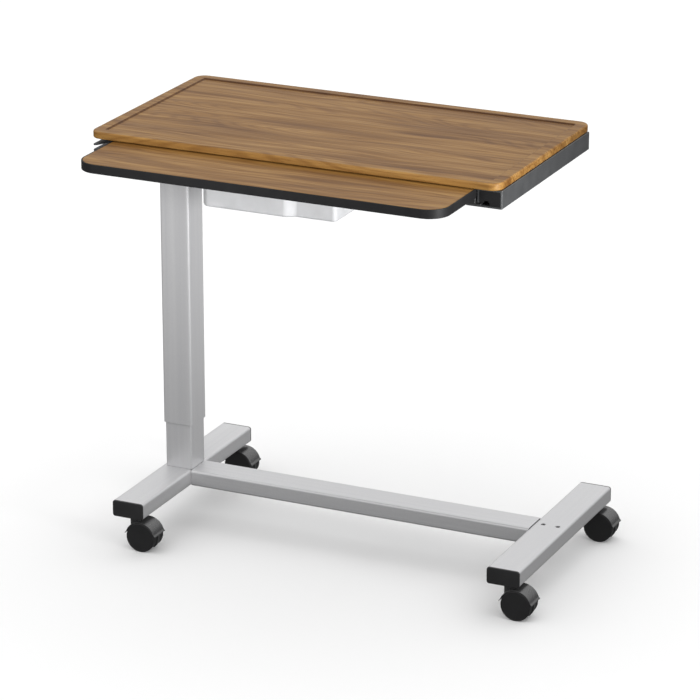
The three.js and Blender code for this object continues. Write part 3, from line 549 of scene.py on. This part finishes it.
BORE_GAP, BOLT_HOLE = 0.3 * MM, 4.3 * MM
FOOT_SCREWS = {"left": ("front_column_bolt", "back_column_bolt"),
               "right": ("inner_joint_screw", "outer_joint_screw")}
CORNERS = [side + "_" + end for side in ("left", "right") for end in ("front", "back")]
for side in ("left", "right"):
    foot = hollow_tube(side + "_foot_tube", side + "_foot", "y", FOOT_CORNER, FOOT_WALL)
    low, high, middle, size = box_of(side + "_foot")
    bars = []
    for end in ("front", "back"):
        _, _, stem, stem_size = box_of(side + "_" + end + "_caster_stem")
        bars.append(round_bar(stem_size[0] / 2 + BORE_GAP, low[2] - MM, low[2] + 2 * FOOT_WALL, stem))
    for screw in FOOT_SCREWS[side]:
        bars.append(round_bar(BOLT_HOLE, high[2] - 2 * FOOT_WALL, high[2] + MM, box_of(screw)[2]))
    combine(foot, bars, "DIFFERENCE")
    seat(foot, silver_y, side + "_foot")

# %% [markdown]
# The open ends of the feet wear moulded caps: a thin flange that covers the tube's end, and a plug that
# grips the inside. The section starts at the plug, steps out to the flange and rolls over to a flat
# outer face, so one stack of rings makes the whole moulding.

# %% End caps
CAP_THICKNESS, CAP_PLUG, CAP_EDGE, PLUG_INSET, PLUG_EDGE = 3 * MM, 8 * MM, 1.3 * MM, 2.3 * MM, 0.6 * MM
inset_over, rise_over = round_over(CAP_EDGE)
cap_inset = np.concatenate([[PLUG_INSET + PLUG_EDGE, PLUG_INSET, PLUG_INSET, 0.0], inset_over[::-1]])
cap_rise = np.concatenate([
    [0.0, PLUG_EDGE, CAP_PLUG, CAP_PLUG], CAP_PLUG + CAP_THICKNESS - rise_over[::-1]])
for corner in CORNERS:
    low, high, middle, size = box_of(corner + "_end_cap")
    radius = np.maximum(FOOT_CORNER - cap_inset, CUTTER_RADIUS)
    flat = rounded_rings(size[2] - 2 * cap_inset, size[0] - 2 * cap_inset, radius) + middle[[2, 0]]
    if corner.endswith("front"):
        flat, along = flat[::-1], (high[1] - cap_rise)[::-1]
    else:
        along = low[1] + cap_rise
    cap = skin(corner + "_foot_cap", laid(flat, along, "y"))
    seat(cap, cap_black, corner + "_end_cap")

# %% [markdown]
# ## Rails and runners
#
# The lower top slides between two rails that hang under the ends of the main top. A rail is an
# extrusion: a box with a slot low on its inner side and a ledge under it. Its section is an outline in X
# and Z with the outer corners rounded. Near the front the outer side is drawn in along a quarter circle,
# because the real rail's front corner is rounded too.

# %% Sections carried along Y
def rounded_corner(point, radius, start, steps=6):
    """A quarter circle that replaces one corner of an outline, starting at a turn in degrees."""
    turn = np.radians(np.linspace(start, start - 90, steps))
    return np.asarray(point) + radius * np.stack([np.cos(turn), np.sin(turn)], axis=-1)


def carried(name, outline, along, edge=0.0):
    """An outline in X and Z carried along Y, its two ends drawn in by a fine edge.

    The outline is moved in along its own normal: the normal is the tangent turned a quarter turn, and
    the tangent is the step from the point before to the point after."""
    along = np.asarray(along)
    section = outline[:, ::-1]
    area = np.sum(section[:, 0] * np.roll(section[:, 1], -1) - np.roll(section[:, 0], -1) * section[:, 1])
    section = section if area > 0 else section[::-1]
    after, before = np.roll(section, -1, axis=0) - section, section - np.roll(section, 1, axis=0)
    after, before = (step / np.linalg.norm(step, axis=1, keepdims=True) for step in (after, before))
    tangent = after + before
    tangent /= np.maximum(np.sum(tangent * after, axis=1, keepdims=True), 0.2)
    normal = np.stack([tangent[:, 1], -tangent[:, 0]], axis=-1)
    inset = np.array([edge, 0.0, 0.0, edge])
    stations = np.array([along[0], along[0] + edge, along[-1] - edge, along[-1]])
    if edge == 0.0:
        inset, stations = inset[1:3], stations[[0, -1]]
    return skin(name, laid(section[None] - inset[:, None, None] * normal[None], stations, "y"))


# %% Rails
RAIL_WALL, RAIL_LEDGE, RAIL_SLOT, RAIL_CORNER, RAIL_ARRIS = 3 * MM, 20 * MM, 4 * MM, 3 * MM, 1.2 * MM


def rail_outline(inner, outer, ledge, bottom, top):
    """The right rail's section, clockwise from the tip of the ledge; the left rail is its mirror image."""
    ledge_top = bottom + RAIL_WALL
    slot_top = ledge_top + RAIL_SLOT
    upper = rounded_corner((outer - RAIL_ARRIS, top - RAIL_ARRIS), RAIL_ARRIS, 90)
    lower = rounded_corner((outer - RAIL_ARRIS, bottom + RAIL_ARRIS), RAIL_ARRIS, 0)
    return np.concatenate([
        [(ledge, bottom), (ledge, ledge_top), (outer - RAIL_WALL, ledge_top),
         (outer - RAIL_WALL, top - RAIL_WALL), (inner + RAIL_WALL, top - RAIL_WALL),
         (inner + RAIL_WALL, slot_top), (inner, slot_top), (inner, top)],
        upper, lower])


for side, sign in (("left", -1), ("right", 1)):
    low, high, middle, size = box_of(side + "_rail")
    ledge, outer = sorted((sign * low[0], sign * high[0]))
    outline = rail_outline(ledge + RAIL_LEDGE, outer, ledge, low[2], high[2])
    turn = np.linspace(0, np.pi / 2, 7)
    stations = np.concatenate([low[1] + RAIL_CORNER * (1 - np.cos(turn)), [high[1]]])
    drawn_in = np.concatenate([RAIL_CORNER * (1 - np.sin(turn)), [0.0]])
    section = np.broadcast_to(outline, (len(stations), *outline.shape)).copy()
    section[..., 0] = sign * np.minimum(section[..., 0], outer - drawn_in[:, None])
    flat = section[..., ::-1] if sign > 0 else section[:, ::-1, ::-1]
    rail = skin(side + "_rail_extrusion", laid(flat, stations, "y"))
    seat(rail, rail_grey, side + "_rail")

# %% [markdown]
# Under each side of the lower top a plastic runner slides on the rail's ledge, with a thin lip that
# reaches into the slot and stops the top from tipping.

# %% Runners
RUNNER_WIDTH, RUNNER_LIP_HEIGHT, RUNNER_EDGE = 14 * MM, 2.2 * MM, 0.5 * MM
for side, sign in (("left", -1), ("right", 1)):
    low, high, middle, size = box_of(side + "_runner")
    x0, lip = sorted((sign * low[0], sign * high[0]))
    x1, step = x0 + RUNNER_WIDTH, low[2] + RUNNER_LIP_HEIGHT
    outline = np.array([(x0, low[2]), (lip, low[2]), (lip, step), (x1, step), (x1, high[2]), (x0, high[2])])
    runner = carried(side + "_runner_strip", outline * (sign, 1), (low[1], high[1]), RUNNER_EDGE)
    seat(runner, cap_black, side + "_runner")

# %% [markdown]
# ## Small plates
#
# The rail's front caps, the head plate, the tray's hangers, the lever and its guard are already the
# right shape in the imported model, but their edges are sharp. Real plates and mouldings never have a
# perfectly sharp edge, so each gets a merged copy with flat faces joined up and a narrow bevel.

# %% Ease the edges of a copy
def eased_copy(name, node, width):
    """A copy of a node with its doubles merged, its flat faces joined and its edges bevelled."""
    mesh = frame["nodes"][node].data.copy()
    mesh.name = name
    work = bmesh.new()
    work.from_mesh(mesh)
    bmesh.ops.remove_doubles(work, verts=work.verts, dist=0.01 * MM)
    bmesh.ops.dissolve_limit(work, angle_limit=radians(1), verts=work.verts, edges=work.edges)
    work.to_mesh(mesh)
    work.free()
    made = bpy.data.objects.new(name, mesh)
    bpy.context.scene.collection.objects.link(made)
    bevel = made.modifiers.new("eased_edges", "BEVEL")
    bevel.width = width
    bevel.segments = 3
    bevel.limit_method = "ANGLE"
    bevel.angle_limit = radians(40)
    return made


PLATES = (
    ("head_plate", "column_head_plate", frame_black, "dark_steel", 0.8),
    ("left_rail_front_cap", "left_rail_cap", rail_cap_black, "black_plastic", 0.3),
    ("right_rail_front_cap", "right_rail_cap", rail_cap_black, "black_plastic", 0.3),
    ("left_tray_hanger", "left_tray_channel", frame_black, "dark_steel", 0.3),
    ("right_tray_hanger", "right_tray_channel", frame_black, "dark_steel", 0.3),
    ("lever_guard", "lever_guard_plate", rail_grey, "black_plastic", 0.5),
    ("release_lever", "release_lever_arm", cap_black, "black_plastic", 0.6),
)
for node, name, finish, slot, width in PLATES:
    seat(eased_copy(name, node, width * MM), finish, node)

# %% [markdown]
# ## The storage tray
#
# A shallow drawer moulded in milky plastic hangs under the tops. Its front stands proud over part of its
# width and eases back in a soft step, which gives the fingers a place to pull. In plan the outline is
# four rounded corners and that step. The section goes from under the floor up the outside, out round
# the rim that runs in the hangers, over, and down the inside, so the tray is one closed moulding.

# %% Tray outline
TRAY_WALL, TRAY_CORNER, TRAY_RIM, TRAY_RIM_HEIGHT = 2.5 * MM, 14 * MM, 10 * MM, 3 * MM
TRAY_BOW, TRAY_BOW_SHARE, TRAY_STEP = 9 * MM, 0.62, 24 * MM
TRAY_FLOOR_ROUND, TRAY_INNER_ROUND, RIM_TAPER = 5 * MM, 3 * MM, 5 * MM
tray_low, tray_high, _, tray_size = box_of("storage_tray")
tray_width, tray_depth = tray_size[0] - 2 * TRAY_RIM, tray_size[1] - TRAY_BOW
tray_corner_low = np.array([tray_low[0] + TRAY_RIM, tray_low[1] + TRAY_BOW])


def arc(centre_x, centre_y, radius, start, steps=8):
    """A quarter circle about a centre, one row for each inset; start is the first turn in degrees."""
    turn = np.radians(np.linspace(start, start + 90, steps))
    return np.stack([centre_x + radius * np.cos(turn), centre_y + radius * np.sin(turn)], axis=-1)


def tray_rings(inset, rim):
    """The tray's outline for each inset, counterclockwise, its sides pushed out by rim times its width.

    The push is a smooth step of the distance from the front and back corners, so the rim tapers in."""
    inset = np.asarray(inset)[:, None]
    radius = TRAY_CORNER - inset
    right, back = tray_width - inset, tray_depth - inset
    share = np.linspace(0, 1, 9)[None]
    step_x = TRAY_BOW_SHARE * tray_width + TRAY_STEP * share + 0 * inset
    step_y = inset - TRAY_BOW * (1 - ease(share))
    side_y = np.linspace(TRAY_CORNER, tray_depth - TRAY_CORNER, 60)[None, 1:-1] + 0 * inset
    outline = np.concatenate([
        arc(inset + radius, radius + inset - TRAY_BOW, radius, 180),
        np.stack([step_x, step_y], axis=-1),
        arc(right - radius / 2, radius / 2 + inset, radius / 2, 270),
        np.stack([right + 0 * side_y, side_y], axis=-1),
        arc(right - radius, back - radius, radius, 0),
        arc(inset + radius, back - radius, radius, 90),
        np.stack([inset + 0 * side_y, side_y[:, ::-1]], axis=-1)], axis=1)
    from_ends = np.minimum(outline[..., 1] - TRAY_CORNER, tray_depth - TRAY_CORNER - outline[..., 1])
    outward = np.sign(outline[..., 0] - tray_width / 2)
    outline[..., 0] += outward * np.asarray(rim)[:, None] * TRAY_RIM * ease(from_ends / RIM_TAPER)
    return outline + tray_corner_low


# %% Tray
outer_inset, outer_rise = round_over(TRAY_FLOOR_ROUND, 7)
inner_inset, inner_rise = round_over(TRAY_INNER_ROUND, 6)
z0, z1, edge = tray_low[2], tray_high[2], 0.5 * MM
rim_low = z1 - TRAY_RIM_HEIGHT
inset = np.concatenate([
    outer_inset, [0, 0, 0, 0, TRAY_WALL - edge, TRAY_WALL], TRAY_WALL + inner_inset[::-1]])
height = np.concatenate([
    z0 + outer_rise, [rim_low, rim_low, z1 - edge, z1, z1, z1 - edge], z0 + TRAY_WALL + inner_rise[::-1]])
rim = np.zeros(len(inset))
rim[len(outer_inset) + 1:len(outer_inset) + 4] = (1.0, 1.0, 0.96)
tray = skin("storage_tray_moulding", laid(tray_rings(inset, rim), height))
# Away from the rim two rings lie on each other, so their points are merged.
work = bmesh.new()
work.from_mesh(tray.data)
bmesh.ops.remove_doubles(work, verts=work.verts, dist=0.001 * MM)
work.to_mesh(tray.data)
work.free()
print("storage_tray_moulding after merging:", len(tray.data.polygons), "faces")
seat(tray, tray_white, "storage_tray")

# %% [markdown]
# ## Casters
#
# Each caster has two wheels side by side under a curved hood. A wheel is a turned shape: a profile of
# radius and distance along the axle, carried round it. The profile starts at the end of the bore, comes
# out to the inner face, goes over the slightly crowned tread and ends on the plain outer face.

# %% Wheels
WHEEL_BORE, WHEEL_EDGE, WHEEL_DISH, DISH_MARGIN, HUB_DEPTH = 3.3 * MM, 1.5 * MM, 0.35 * MM, 2.1 * MM, 3 * MM


def turned(profile, centre, axis, sides=96):
    """Rings at radius * (cos, sin) of the turn, each as far along the axis as the profile says."""
    turn = np.linspace(0, 2 * np.pi, sides, endpoint=False)
    circle = np.stack([np.cos(turn), np.sin(turn)], axis=-1)
    i = "xyz".index(axis)
    flat = profile[:, 0, None, None] * circle + centre[[(i + 1) % 3, (i + 2) % 3]]
    return laid(flat, centre[i] + profile[:, 1], axis)


def wheel_profile(radius, width):
    """Radius and distance from the inner face: bore, inner face, tread with two rounded edges, disc."""
    inset, rise = round_over(WHEEL_EDGE, 6)
    dish = radius - DISH_MARGIN
    tread = np.concatenate([
        np.stack([radius - inset, rise], axis=-1),
        np.stack([radius - inset[::-1], width - rise[::-1]], axis=-1)])
    return np.concatenate([
        [(WHEEL_BORE, width - HUB_DEPTH), (WHEEL_BORE, 0.0)], tread,
        [(dish + WHEEL_DISH, width), (dish, width - WHEEL_DISH), (4 * MM, width - WHEEL_DISH)]])


for corner in CORNERS:
    for letter, facing in (("a", -1), ("b", 1)):
        low, high, middle, size = box_of(corner + "_wheel_" + letter)
        profile = wheel_profile(size[2] / 2, size[1])
        centre = np.array([middle[0], 0.0, middle[2]])
        if facing > 0:
            profile[:, 1] += low[1]
        else:
            profile[:, 1] = high[1] - profile[:, 1]
            profile = profile[::-1]
        wheel = skin(corner + "_wheel_disc_" + letter, turned(profile, centre, "y"))
        seat(wheel, wheel_black, corner + "_wheel_" + letter)

# %% [markdown]
# The hood is a thin curved cover over both treads, with a web between the wheels and a neck round the
# stem. The cover is a flat rounded section carried along an arc about the axle. At both ends it flares
# outwards and thins to a small lip. The neck runs on as a shoulder over the crown of the cover. Web and
# neck are simple solids, and a Boolean modifier joins the three into one moulding, as the real one comes
# from one mould.

# %% Hoods
wheel_radius = box_of("left_front_wheel_a")[3][2] / 2
HOOD_INNER, HOOD_THICKNESS, HOOD_END, HOOD_FLARE = wheel_radius + 0.6 * MM, 1.5 * MM, radians(10), 2.4 * MM
HOOD_WIDTH, WEB_HALF, NECK_RADIUS, STEM_BORE = 38.8 * MM, 3.7 * MM, 6 * MM, 4.3 * MM
FLARE_ANGLE, WEB_START, WEB_END, WEB_EDGE = radians(9), radians(-45), radians(207), 0.4 * MM
NECK_BOTTOM, NECK_EDGE, ROOM_END, ROOM_LAP = 8 * MM, 0.1 * MM, 25 * MM, 0.1 * MM


def hood_cover():
    """The cover about the origin, axle along Y.

    For each turn about the axle, a flat rounded section of the cover's thickness and width stands at
    its radius. Within a few degrees of either end the radius grows by the flare, on an eased curve."""
    turn = np.linspace(HOOD_END, np.pi - HOOD_END, 65)
    near_end = ease(1 - np.minimum(turn - HOOD_END, np.pi - HOOD_END - turn) / FLARE_ANGLE)
    thickness = HOOD_THICKNESS * (1 - 0.35 * near_end)
    section = rounded_rings(thickness, HOOD_WIDTH, 0.45 * thickness, 5)
    radius = HOOD_INNER + HOOD_FLARE * near_end[:, None] + thickness[:, None] / 2 + section[..., 0]
    x, z = radius * np.cos(turn)[:, None], radius * np.sin(turn)[:, None]
    return skin("hood", np.stack([x, section[..., 1], z], axis=-1)[:, ::-1])


def hood_web():
    """A plate between the wheels: part of a disc cut by a slanting line below the axle."""
    turn = np.linspace(WEB_START, WEB_END, 80)
    outline = (HOOD_INNER + HOOD_THICKNESS / 2) * np.stack([np.cos(turn), np.sin(turn)], axis=-1)
    return carried("web", outline, (-WEB_HALF, WEB_HALF), WEB_EDGE)


def hood_neck(stem_x, height):
    """A rounded block round the stem that runs on as a shoulder over the crown of the cover."""
    length = -stem_x * 2 / 3 + NECK_RADIUS
    flat = rounded_rings(length, 2 * NECK_RADIUS, NECK_RADIUS - NECK_EDGE, 12)
    flat = flat + (stem_x - NECK_RADIUS + length / 2, 0.0)
    return skin("neck", laid(np.concatenate([flat, flat]), np.array([NECK_BOTTOM, height])))


neck_top = box_of("left_front_caster_hood")[1][2]
for corner in CORNERS:
    axle = box_of(corner + "_caster_axle")[2]
    stem_low, _, stem, _ = box_of(corner + "_caster_stem")
    hood = hood_cover()
    web = hood_web()
    neck = hood_neck(stem[0] - axle[0], neck_top - axle[2])
    room = HOOD_INNER - ROOM_LAP
    rooms = [skin("room", turned(np.array([(room, low), (room, high)]), np.zeros(3), "y"))
             for low, high in ((WEB_HALF, ROOM_END), (-ROOM_END, -WEB_HALF))]
    combine(neck, rooms, "DIFFERENCE")
    bore = round_bar(STEM_BORE, stem_low[2] - axle[2] - MM, neck_top - axle[2] + MM,
                     (stem[0] - axle[0], 0.0), 32)
    combine(hood, [web, neck], "UNION")
    combine(hood, [bore], "DIFFERENCE")
    points = np.empty(len(hood.data.vertices) * 3, np.float32)
    hood.data.vertices.foreach_get("co", points)
    hood.data.vertices.foreach_set("co", (points.reshape(-1, 3) + axle.astype(np.float32)).ravel())
    hood.name = hood.data.name = corner + "_hood_moulding"
    seat(hood, hood_black, corner + "_caster_hood")

# %% [markdown]
# ## Pieces that stay as they are
#
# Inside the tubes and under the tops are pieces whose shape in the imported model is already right: the
# gas spring, the column's base block and bolts, the sockets and stems of the casters, the insert and
# its screws. They keep their shape and get the same finishes as their neighbours.

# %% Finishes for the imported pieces
KEPT = {
    frame_black: ["cross_bar_insert", "inner_joint_screw", "outer_joint_screw", "column_base_block",
                  "front_column_bolt", "back_column_bolt", "gas_spring_cylinder"],
    bright_steel: ["gas_spring_rod", "lever_pivot_pin"] + [c + "_caster_stem" for c in CORNERS]
    + [c + "_caster_axle" for c in CORNERS],
    nylon_white: ["column_glide"] + [c + "_stem_socket" for c in CORNERS],
}
for finish, nodes in KEPT.items():
    for node in nodes:
        data = frame["nodes"][node].data
        data.materials.clear()
        data.materials.append(finish)
print("packed pieces finished:", sum(len(nodes) for nodes in KEPT.values()))

# %% [markdown]
# ## Studio
#
# The table stands on a plain white floor. The light is a large soft sky, bright above and dim below, so
# that tops are light, sides are darker and lower edges darkest, plus two soft lamps at the height of the
# tops, in front and to the right. The floor takes shadows but is hidden from the light that the table
# itself receives, and a very faint glow of its own keeps its shadows soft.

# %% Floor, sky and lamps
FLOOR_SIZE = 40.0
corners = FLOOR_SIZE / 2 * np.array([(-1, -1, 0), (1, -1, 0), (1, 1, 0), (-1, 1, 0)])
floor_mesh = bpy.data.meshes.new("floor")
floor_mesh.from_pydata(corners.tolist(), [], [(0, 1, 2, 3)])
floor = bpy.data.objects.new("floor", floor_mesh)
bpy.context.scene.collection.objects.link(floor)
floor_finish, _, floor_shader = new_finish("floor_white", (0.92, 0.92, 0.92, 1.0), 0.9, specular=0.0)
floor_shader.inputs["Emission Color"].default_value = (1.0, 1.0, 1.0, 1.0)
floor_shader.inputs["Emission Strength"].default_value = 0.04
floor_mesh.materials.append(floor_finish)
floor.visible_diffuse = False
floor.visible_glossy = False

world = bpy.data.worlds.new("sky")
bpy.context.scene.world = world
world.use_nodes = True
sky = world.node_tree
SKY_PEAK = 1.25
direction = sky.nodes.new("ShaderNodeTexCoord")
parts = sky.nodes.new("ShaderNodeSeparateXYZ")
sky.links.new(direction.outputs["Generated"], parts.inputs["Vector"])
upward = between(sky, parts.outputs["Z"], -1.0, 1.0, 0.0, 1.0)
SKY = [(0.0, 0.12), (0.40, 0.15), (0.50, 0.27), (0.62, 0.82), (0.80, 1.19), (1.0, 1.25)]
light = ramp(sky, upward, [(place, (value / SKY_PEAK,) * 3 + (1.0,)) for place, value in SKY])
sky.links.new(light, sky.nodes["Background"].inputs["Color"])
sky.nodes["Background"].inputs["Strength"].default_value = SKY_PEAK


def soft_lamp(name, place, aim, size, power, spread):
    """A square lamp turned to face a point, its light kept within a cone."""
    data = bpy.data.lights.new(name, "AREA")
    data.size = size
    data.energy = power
    data.spread = radians(spread)
    lamp = bpy.data.objects.new(name, data)
    lamp.location = place
    facing = Vector(aim) - lamp.location
    lamp.rotation_euler = facing.to_track_quat("-Z", "Y").to_euler()
    bpy.context.scene.collection.objects.link(lamp)


soft_lamp("front_lamp", (-0.1, -2.2, 0.80), (-0.25, 0.0, 0.76), 0.5, 0.9, 34)
soft_lamp("side_lamp", (2.1, -0.8, 0.80), (-0.2, 0.0, 0.76), 0.5, 3.0, 34)
bpy.context.scene.view_settings.view_transform = "Standard"
print("floor, sky and lamps in place")
